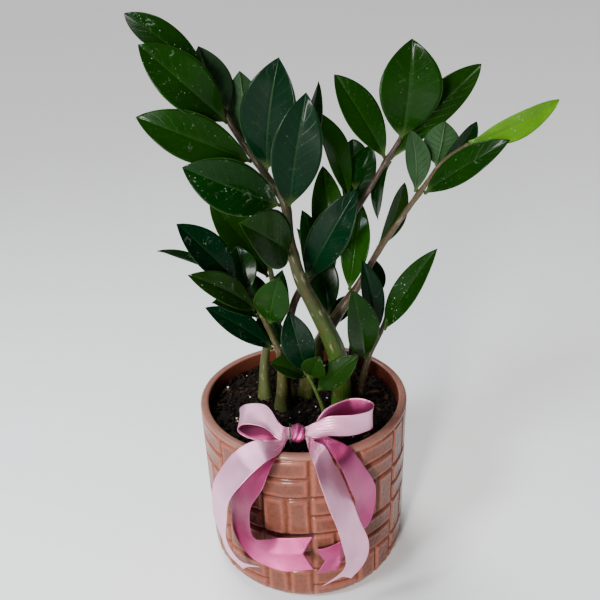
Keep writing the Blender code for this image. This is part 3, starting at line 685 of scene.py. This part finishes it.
def make_petiole_piece(name):
    """One petiole: swollen at the soil and a little at each leaflet, its colour changing with height."""
    line = np.array([tuple(p) for p in stem_line(name, 10)])
    route, radii = line[:, :3], line[:, 3].copy()
    steps = np.linalg.norm(np.diff(route, axis=0), axis=1)
    along = np.concatenate([[0], np.cumsum(steps)])
    start = along[np.searchsorted(route[:, 2], SOIL_TOP)] if route[0, 2] < SOIL_TOP else 0
    share = np.clip((along - start) / (along[-1] - start), 0, 1)
    for stem, at, *_ in LEAVES.values():
        if stem == name:
            radii *= 1 + 0.13 * np.exp(-((share - at + 0.01) / 0.014) ** 2)
    radii *= 1 + 0.22 * np.exp(-share / 0.05)
    radii[-1] *= 0.4
    sides = 20
    points = tube(route, radii, sides, 0.03).reshape(-1, 3)
    faces = grid_faces(len(route), sides, closed=True, flip=True)
    top = (len(route) - 1) * sides
    faces.append(tuple(range(top, top + sides)))
    faces.append(tuple(reversed(range(sides))))
    uv = [(c / sides, v / along[-1] * 8) for v in along for c in range(sides)]
    low, mid, high = (np.array(linear(c)) for c in PETIOLES[name])
    mixed = [low + (mid - low) * min(s * 2.5, 1) if s < 0.4 else mid + (high - mid) * (s - 0.4) / 0.6
             for s in share]
    tint = np.repeat(np.array(mixed), sides, 0)
    return add_piece(name.replace("stem", "petiole"), points, faces, [PETIOLE], (name,), uv=uv,
                     values={"tint": tint})


# ---------------------------------------------------------------- leaflets

def blade_share(t):
    """Half width along a blade: the plain solid's outline, rounded out a little."""
    return 3.47 * t ** 0.95 * (1.0 - t) ** 0.85 * (1 + 0.08 * np.sin(math.pi * t) ** 0.5)


def leaf_frame(stem, share, heading, rise, roll):
    """Foot, axis, side and face of a leaflet, as the part sets them."""
    heading, rise = math.radians(heading), math.radians(rise)
    axis = Vector((math.cos(heading) * math.cos(rise), math.sin(heading) * math.cos(rise), math.sin(rise)))
    face = (LIGHT - axis * LIGHT.dot(axis)).normalized()
    face = Matrix.Rotation(math.radians(roll), 3, axis) @ face
    center, along, radius = place_on_stem(stem, share)
    lean = abs(axis.dot(along))
    if share == 1.0:
        foot = center + along * (1.3 * CLEARANCE + LEAF_FOOT * math.sqrt(1 - lean * lean))
    else:
        outward = (axis - along * axis.dot(along)).normalized()
        foot = center + outward * (radius + LEAF_FOOT * lean + CLEARANCE)
    return foot, axis, axis.cross(face), face


def make_leaflet(name, entry, tone, dust, stands_for=()):
    """A blade with a grooved midrib, a keel below it, a waved margin and a short thick foot."""
    stem, share, heading, rise, length, width, roll = entry
    foot, axis, side, face = (np.array(v) for v in leaf_frame(stem, share, heading, rise, roll))
    random.seed(name)
    length, half = length * MM, width * MM / 2
    rows, cols = 44, 21
    stations = np.linspace(0, 1, rows) ** 1.15
    stations[0] = -0.018
    spread = np.linspace(-1, 1, cols)
    spread = np.sign(spread) * np.abs(spread) ** 1.25
    wave_a, wave_b = random.uniform(0, 6), random.uniform(0, 6)
    wave = random.uniform(0.025, 0.05)
    sickle = random.uniform(-0.02, 0.02)
    twist = math.radians(random.uniform(-9, 9))
    stalk = 1.1 * MM
    t = stations[:, None]
    u = spread[None]
    inside = np.clip(t, 0, 1)
    blade = half * blade_share(inside)
    reach = np.maximum(blade, stalk * (1 - ramp(inside, 0.0, 0.12)))
    reach = np.maximum(reach, 0.12 * MM)
    body = ramp(inside, 0.02, 0.12)
    along = length * t + 0 * u
    lift = length * LEAF_ARCH * 4 * inside * (1 - inside)
    lift = lift + LEAF_CUP * 0.9 * reach * np.abs(u) ** 1.3 * body
    swell = np.sin(9 * inside + wave_a + 1.5 * np.sign(u) + wave_b * (u > 0))
    lift = lift + wave * half * np.abs(u) ** 2 * body * swell
    lift = lift - 0.35 * MM * np.exp(-(u * reach / (0.9 * MM)) ** 2) * body
    sideways = reach * u + length * sickle * 4 * inside * (1 - inside)
    turn = twist * (inside - 0.3)
    sideways, lift = sideways * np.cos(turn), lift + reach * u * np.sin(turn)
    top = foot + along[..., None] * axis + sideways[..., None] * side + lift[..., None] * face
    keel = 0.8 * MM * np.exp(-(u * reach / (0.8 * MM)) ** 2) * (1 - 0.75 * inside)
    thick = 0.42 * MM * (1 - 0.4 * inside) * (1 - 0.55 * np.abs(u) ** 4) + keel
    thick = thick + 1.1 * MM * (1 - ramp(inside, 0.0, 0.1))
    under = top - (thick + 0 * u)[..., None] * face
    points = np.concatenate([top.reshape(-1, 3), under.reshape(-1, 3)])
    count = rows * cols
    upper = grid_faces(rows, cols)
    lower = grid_faces(rows, cols, start=count, flip=True)
    rim = []
    for r in range(rows - 1):
        a, b = r * cols, (r + 1) * cols
        rim.append((a, b, b + count, a + count))
        a, b = a + cols - 1, b + cols - 1
        rim.append((b, a, a + count, b + count))
    for c in range(cols - 1):
        rim.append((c + 1, c, c + count, c + 1 + count))
        a = (rows - 1) * cols + c
        rim.append((a, a + 1, a + 1 + count, a + count))
    uv = np.stack([(u * 0.5 + 0.5) + 0 * t, inside + 0 * u], -1).reshape(-1, 2)
    uv = np.concatenate([uv, uv])
    base = np.array(linear(tone))
    pale = np.array(linear((104, 128, 70)))
    near = (1 - ramp(inside, 0.0, 0.14)) * 0.5 + 0 * u
    tint = (base * (1 - near[..., None]) + pale * near[..., None]).reshape(-1, 3)
    tint = np.concatenate([tint, tint]) * random.uniform(0.85, 1.15)
    slots = [0] * len(upper) + [1] * len(lower) + [0] * len(rim)
    return add_piece(name, points, upper + lower + rim, [LEAF_TOP, LEAF_UNDER], stands_for, slots, uv,
                     {"tint": tint, "dust": np.full(2 * count, dust)})


# ---------------------------------------------------------------- bow

def at_knot(layer, along_x):
    return KNOT + KNOT_UP * LAYER * layer + Vector((along_x * MM, 0, 0))


def route(*points):
    return [(Vector(p[:3]) * MM, p[3:6], (p[6] if len(p) > 6 else RIBBON_WIDTH / MM) * MM) for p in points]


def gathered(layer, along_x, width=GATHERED_WIDTH / MM, forward=0.0):
    return (at_knot(layer, along_x) - KNOT_ACROSS * forward * MM, KNOT_ACROSS, width * MM)


def make_ribbon(name, node, stations, look, inward=0.0, share=1.0, notch=(0.0, 0.0)):
    """A satin strip along the stations, pleated where it is gathered, with swallowtail ends."""
    packed = [Vector((*center, *(Vector(across).normalized() * width)))
              for center, across, width in stations]
    line = np.array([tuple(p) for p in smooth_route(packed, 14)])
    centers = line[:, :3]
    steps = np.linalg.norm(np.diff(centers, axis=0), axis=1)
    along = np.concatenate([[0], np.cumsum(steps)])
    length = along[-1]
    cols = 57
    rows = max(int(length / (1.1 * MM)), 60)
    spread = np.linspace(-1, 1, cols)
    points = np.zeros((rows, cols, 3))
    facing = np.zeros((rows, cols, 3))
    for c, u in enumerate(spread):
        trim = 1 - abs(u)
        s = np.linspace(notch[0] * MM * trim, length - notch[1] * MM * trim, rows)
        center = np.stack([np.interp(s, along, centers[:, i]) for i in range(3)], -1)
        across = np.stack([np.interp(s, along, line[:, 3 + i]) for i in range(3)], -1)
        width = np.linalg.norm(across, axis=1, keepdims=True)
        across = across / width
        tangent = np.gradient(center, axis=0)
        normal = np.cross(across, tangent)
        normal /= np.linalg.norm(normal, axis=1, keepdims=True)
        tight = 1 - ramp(width / RIBBON_WIDTH, 0.35, 0.75)
        way = np.sign(normal @ np.array(KNOT_UP))[:, None]
        pleat = 0.65 * MM * tight * way * math.cos(7 * math.pi * u + 0.6)
        ripple = 0.35 * MM * (1 - tight) * np.sin(s * 190 + 2 * u)[:, None] * u
        crown = -0.5 * MM * u * u * (1 - tight)
        points[:, c] = center + normal * (inward + pleat + ripple + crown) + across * u * width * share / 2
        facing[:, c] = normal
    thick = 0.13 * MM
    shift = facing * thick
    points = np.concatenate([(points + shift).reshape(-1, 3), (points - shift).reshape(-1, 3)])
    count = rows * cols
    faces = grid_faces(rows, cols, flip=True) + grid_faces(rows, cols, start=count)
    for r in range(rows - 1):
        a, b = r * cols, (r + 1) * cols
        faces.append((b, a, a + count, b + count))
        a, b = a + cols - 1, b + cols - 1
        faces.append((a, b, b + count, a + count))
    for c in range(cols - 1):
        faces.append((c, c + 1, c + 1 + count, c + count))
        a = (rows - 1) * cols + c
        faces.append((a + 1, a, a + count, a + 1 + count))
    v = np.linspace(0, length / RIBBON_WIDTH, rows)
    uv = [((u + 1) / 2, y) for y in v for u in spread]
    obj = add_piece(name, points, faces, [look], (node,), uv=uv + uv)
    return obj, length


def make_bow():
    back = (0, 1, 0)
    lean = (0, -0.2, 1)
    loops = [
        gathered(0, -0.4), gathered(0, -6), gathered(0, -11, 10),
        *route((-25, -57, 135.6, 0, 1, 0.15, 18), (-36, -50, 133, *back), (-42.5, -46, 136, *back),
               (-38, -46, 140, *back), (-25, -51, 141.5, 0, 1, 0.2, 20)),
        gathered(4, -11, 11), gathered(3, -6), gathered(3, 0), gathered(3, 6), gathered(4, 11, 10),
        *route((16, -62, 140.5, 0, 0.1, 1, 14), (31, -61, 140, *lean, 18), (41, -57, 140, *lean, 18),
               (43, -50, 139.5, 0, 0, 1, 18), (31, -46, 139.5, 0, 0.2, 1, 18),
               (15, -52, 138.5, 0, 0.5, 1, 14)),
        gathered(0, 11, 10), gathered(0, 6), gathered(0, 0.4)]
    pale_tails = [
        *route((-40, -72, 33, -0.6, 0.5, -0.6), (-50, -73, 46, -0.55, 0.75, -0.35),
               (-56, -76, 68, -0.45, 0.9, 0), (-56, -79, 90, -0.5, 0.86, 0), (-52, -82, 110, -0.5, 0.86, 0),
               (-41, -81, 126.5, -0.5, 0.86, 0.1), (-28, -75, 132.5, -0.4, 0.9, 0.1, 20),
               (-16, -65.5, 129.8, 0, 0.92, 0.38, 11)),
        gathered(-1, -6, 6, 1), gathered(-1, 0, 6, 1), gathered(-1, 5, 6, 1),
        *route((3, -66, 129.4, 0.2, 0.85, 0.4, 9), (8, -77, 130, 0.45, 0.9, 0.1, 16),
               (12, -86, 123, 0.45, 0.89, 0.1, 20), (17, -88, 111, 0.5, 0.86, 0.1),
               (24, -93.3, 90, 0.56, 0.83, 0), (29.5, -93, 68, 0.7, 0.7, 0),
               (27, -90, 50, 0.85, 0.5, 0), (17, -87, 35, 0.85, 0.4, -0.2))]
    rose_tails = [
        *route((3, -82, 55, 0, -0.35, -0.93), (-9, -82, 55, 0, -0.35, -0.93),
               (-20, -81, 54.5, 0, -0.35, -0.93), (-32, -79.5, 58, -0.5, 0.1, -0.8),
               (-41, -78, 69, -0.65, 0.6, -0.35), (-43, -79, 85, -0.6, 0.8, 0),
               (-40, -82, 104, -0.55, 0.84, 0), (-32, -84, 120, -0.5, 0.86, 0),
               (-24, -75, 129, -0.4, 0.9, 0.1, 18), (-16, -62.5, 129.7, 0, 0.88, 0.48, 8.5)),
        gathered(-2.2, -6, 6, 1), gathered(-2.3, 0, 6, 1), gathered(-2.6, 6, 6, 1), gathered(-3.4, 11, 7, 1),
        *route((16, -66, 128.8, 0.2, 0.95, 0, 13), (24, -78, 127.5, 0.45, 0.88, 0, 18),
               (31.5, -78.5, 112, 0.5, 0.86, 0), (37, -72.8, 90, 0.7, 0.7, 0), (30, -77, 68, 0.87, 0.5, 0.1),
               (24, -76.5, 50, 0.4, 0.3, 0.85), (13, -77, 43, 0, 0, 1), (4, -77.5, 42, 0, 0, 1))]
    knot = make_knot()
    jobs = [
        ("ribbon_pale_loops_satin", "ribbon_pale_loops", loops, PALE, 0.0, 1.0, (0, 0)),
        ("ribbon_rose_loops_satin", "ribbon_rose_loops", loops, ROSE, NEST, NEST_SHARE, (0, 0)),
        ("ribbon_pale_tails_satin", "ribbon_pale_tails", pale_tails, PALE, 0.0, 1.0, (2, 6)),
        ("ribbon_rose_tails_satin", "ribbon_rose_tails", rose_tails, ROSE, 0.0, 1.0, (7, 6))]
    for name, node, stations, look, inward, share, notch in jobs:
        obj, length = make_ribbon(name, node, stations, look, inward, share, notch)


def make_knot():
    """The short wrap of rose satin round the gathered stack, creased on the slant."""
    middle = np.array(KNOT + KNOT_UP * LAYER / 2 - KNOT_ACROSS * MM / 2)
    rows, cols = 24, 64
    x = np.linspace(-1, 1, rows)[:, None]
    turn = np.linspace(0, math.tau, cols, endpoint=False)[None]
    crease = 0.28 * MM * np.sin(2 * turn + 5 * x) + 0.1 * MM * np.sin(5 * turn + 6 * x)
    bulge = 1.2 * MM * np.cos(x * 1.35) + crease
    across, up = 4.2 * MM + bulge, 3.5 * MM + bulge
    points = (middle + (x * 3.6 * MM + 0.8 * MM * np.sin(turn))[..., None] * np.array([1.0, 0, 0])
              + (np.cos(turn) * across)[..., None] * np.array(KNOT_ACROSS)
              + (np.sin(turn) * up)[..., None] * np.array(KNOT_UP)).reshape(-1, 3)
    faces = grid_faces(rows, cols, closed=True, flip=True)
    uv = [(r / (rows - 1), c / cols * 1.6) for r in range(rows) for c in range(cols)]
    obj = add_piece("bow_knot_wrap", points, faces, [ROSE], ("bow_knot",), uv=uv)
    thicken = obj.modifiers.new("thickness", "SOLIDIFY")
    thicken.thickness = 0.5 * MM
    return obj


def make_wire():
    middle = KNOT + KNOT_UP * LAYER / 2 - KNOT_ACROSS * MM / 2
    x = KNOT.x - 4.3 * MM
    points = []
    for i in range(25):
        a = math.radians(-100 - 260 * i / 24)
        reach = KNOT_ACROSS * math.cos(a) * 5.7 * MM + KNOT_UP * math.sin(a) * 4.6 * MM
        points.append(Vector((x, *(middle + reach).yz)))
    end = points[-1]
    points += [Vector((x + 0.3 * MM, end.y + 0.5 * MM, z * MM)) for z in (132, 127, 122, 117, 110)]
    line = np.array([tuple(p) for p in smooth_route(points, 4)])
    rows = tube(line, np.full(len(line), 0.5 * MM), 10)
    faces = grid_faces(len(line), 10, closed=True, flip=True)
    faces += [tuple(reversed(range(10))), tuple(range((len(line) - 1) * 10, len(line) * 10))]
    return add_piece("bow_wire_tie", rows.reshape(-1, 3), faces, [WIRE], ("bow_wire",))


# ---------------------------------------------------------------- the plant

make_pot()
make_soil()
scattered("soil_crumbs", 1500, (1.2, 3.6), (0.8, 1.3), EARTH,
          [(26, 19, 14), (18, 13, 10), (38, 28, 20), (14, 10, 8)], RIM_RADIUS - 8.5 * MM)
scattered("bark_chips", 150, (1.6, 3.2), (1.8, 3.4), EARTH, [(70, 48, 34), (50, 36, 28), (30, 24, 20)],
          RIM_RADIUS - 10 * MM)
scattered("perlite_grains", 34, (1.0, 2.4), (0.9, 1.2), PERLITE, [(225, 220, 210)],
          RIM_RADIUS - 10 * MM, 0.55)
for stem in STEMS:
    make_petiole_piece(stem)
for leaf, entry in LEAVES.items():
    tone, dust = TONES[leaf]
    make_leaflet(leaf.replace("leaf_", "leaflet_"), entry, tone, dust, (leaf,))
for leaf, entry in INNER.items():
    make_leaflet(leaf, entry, DARK, 0.05)
make_bow()
make_wire()


# ---------------------------------------------------------------- surroundings

CAMERA_PLACE = (0, -0.3730, 0.3657)
CAMERA_TILT = 66.03
CAMERA_ROLL = -2.16
LENS = 36
SENSOR = 36
WORLD_STRENGTH = 0.1

def add_floor():
    """A pale floor that rises in a soft sweep far behind the plant."""
    look = Look("pale_floor", Specular_IOR_Level=0.2)
    speck = look.noise(60, 3)
    color = look.mix(speck, linear((246, 246, 246)), linear((240, 240, 240)))
    mesh = bpy.data.meshes.new("floor")
    rows = [(-6, 0), (3, 0), *((3 + 6 * k / 8, 0.8 * (k / 8) ** 2) for k in range(1, 9)), (40, 9.1)]
    points = [(x, y, z) for y, z in rows for x in (-25, 25)]
    faces = [(2 * i, 2 * i + 1, 2 * i + 3, 2 * i + 2) for i in range(len(rows) - 1)]
    mesh.from_pydata(points, [], faces)
    mesh.shade_smooth()
    mesh.materials.append(look.finish(color, 0.8))
    floor = bpy.data.objects.new("floor", mesh)
    bpy.context.scene.collection.objects.link(floor)


def add_light(name, place, target, size, power, color=(1, 1, 1)):
    data = bpy.data.lights.new(name, "AREA")
    data.shape = "RECTANGLE"
    data.size, data.size_y = size
    data.energy = power
    data.color = color
    light = bpy.data.objects.new(name, data)
    light.location = place
    light.rotation_euler = (Vector(target) - Vector(place)).to_track_quat("-Z", "Y").to_euler()
    bpy.context.scene.collection.objects.link(light)


def add_sun(name, place, power, spread):
    data = bpy.data.lights.new(name, "SUN")
    data.energy = power
    data.angle = math.radians(spread)
    light = bpy.data.objects.new(name, data)
    light.rotation_euler = Vector(place).to_track_quat("Z", "Y").to_euler()
    bpy.context.scene.collection.objects.link(light)


def add_camera():
    data = bpy.data.cameras.new("camera")
    data.sensor_width = SENSOR
    data.lens = LENS
    camera = bpy.data.objects.new("camera", data)
    turn = Matrix.Rotation(math.radians(CAMERA_ROLL), 4, "Z")
    tilt = Matrix.Rotation(math.radians(CAMERA_TILT), 4, "X") @ turn
    camera.matrix_world = Matrix.Translation(CAMERA_PLACE) @ tilt
    bpy.context.scene.collection.objects.link(camera)
    bpy.context.scene.camera = camera


add_floor()
add_camera()
world = bpy.data.worlds.new("studio")
bpy.context.scene.world = world
world.use_nodes = True
world.node_tree.nodes["Background"].inputs["Color"].default_value = (1.0, 1.0, 1.0, 1.0)
world.node_tree.nodes["Background"].inputs["Strength"].default_value = WORLD_STRENGTH
add_sun("sky_panel", (-0.25, 0.45, 0.86), 3.0, 32)
add_light("window", (-0.75, -0.6, 1.0), (0, 0, 0.22), (0.2, 0.34), 16, (0.82, 0.92, 1.0))
add_light("low_front", (-0.5, -1.3, 0.45), (0, 0, 0.12), (0.16, 0.6), 34, (1.0, 0.98, 0.95))
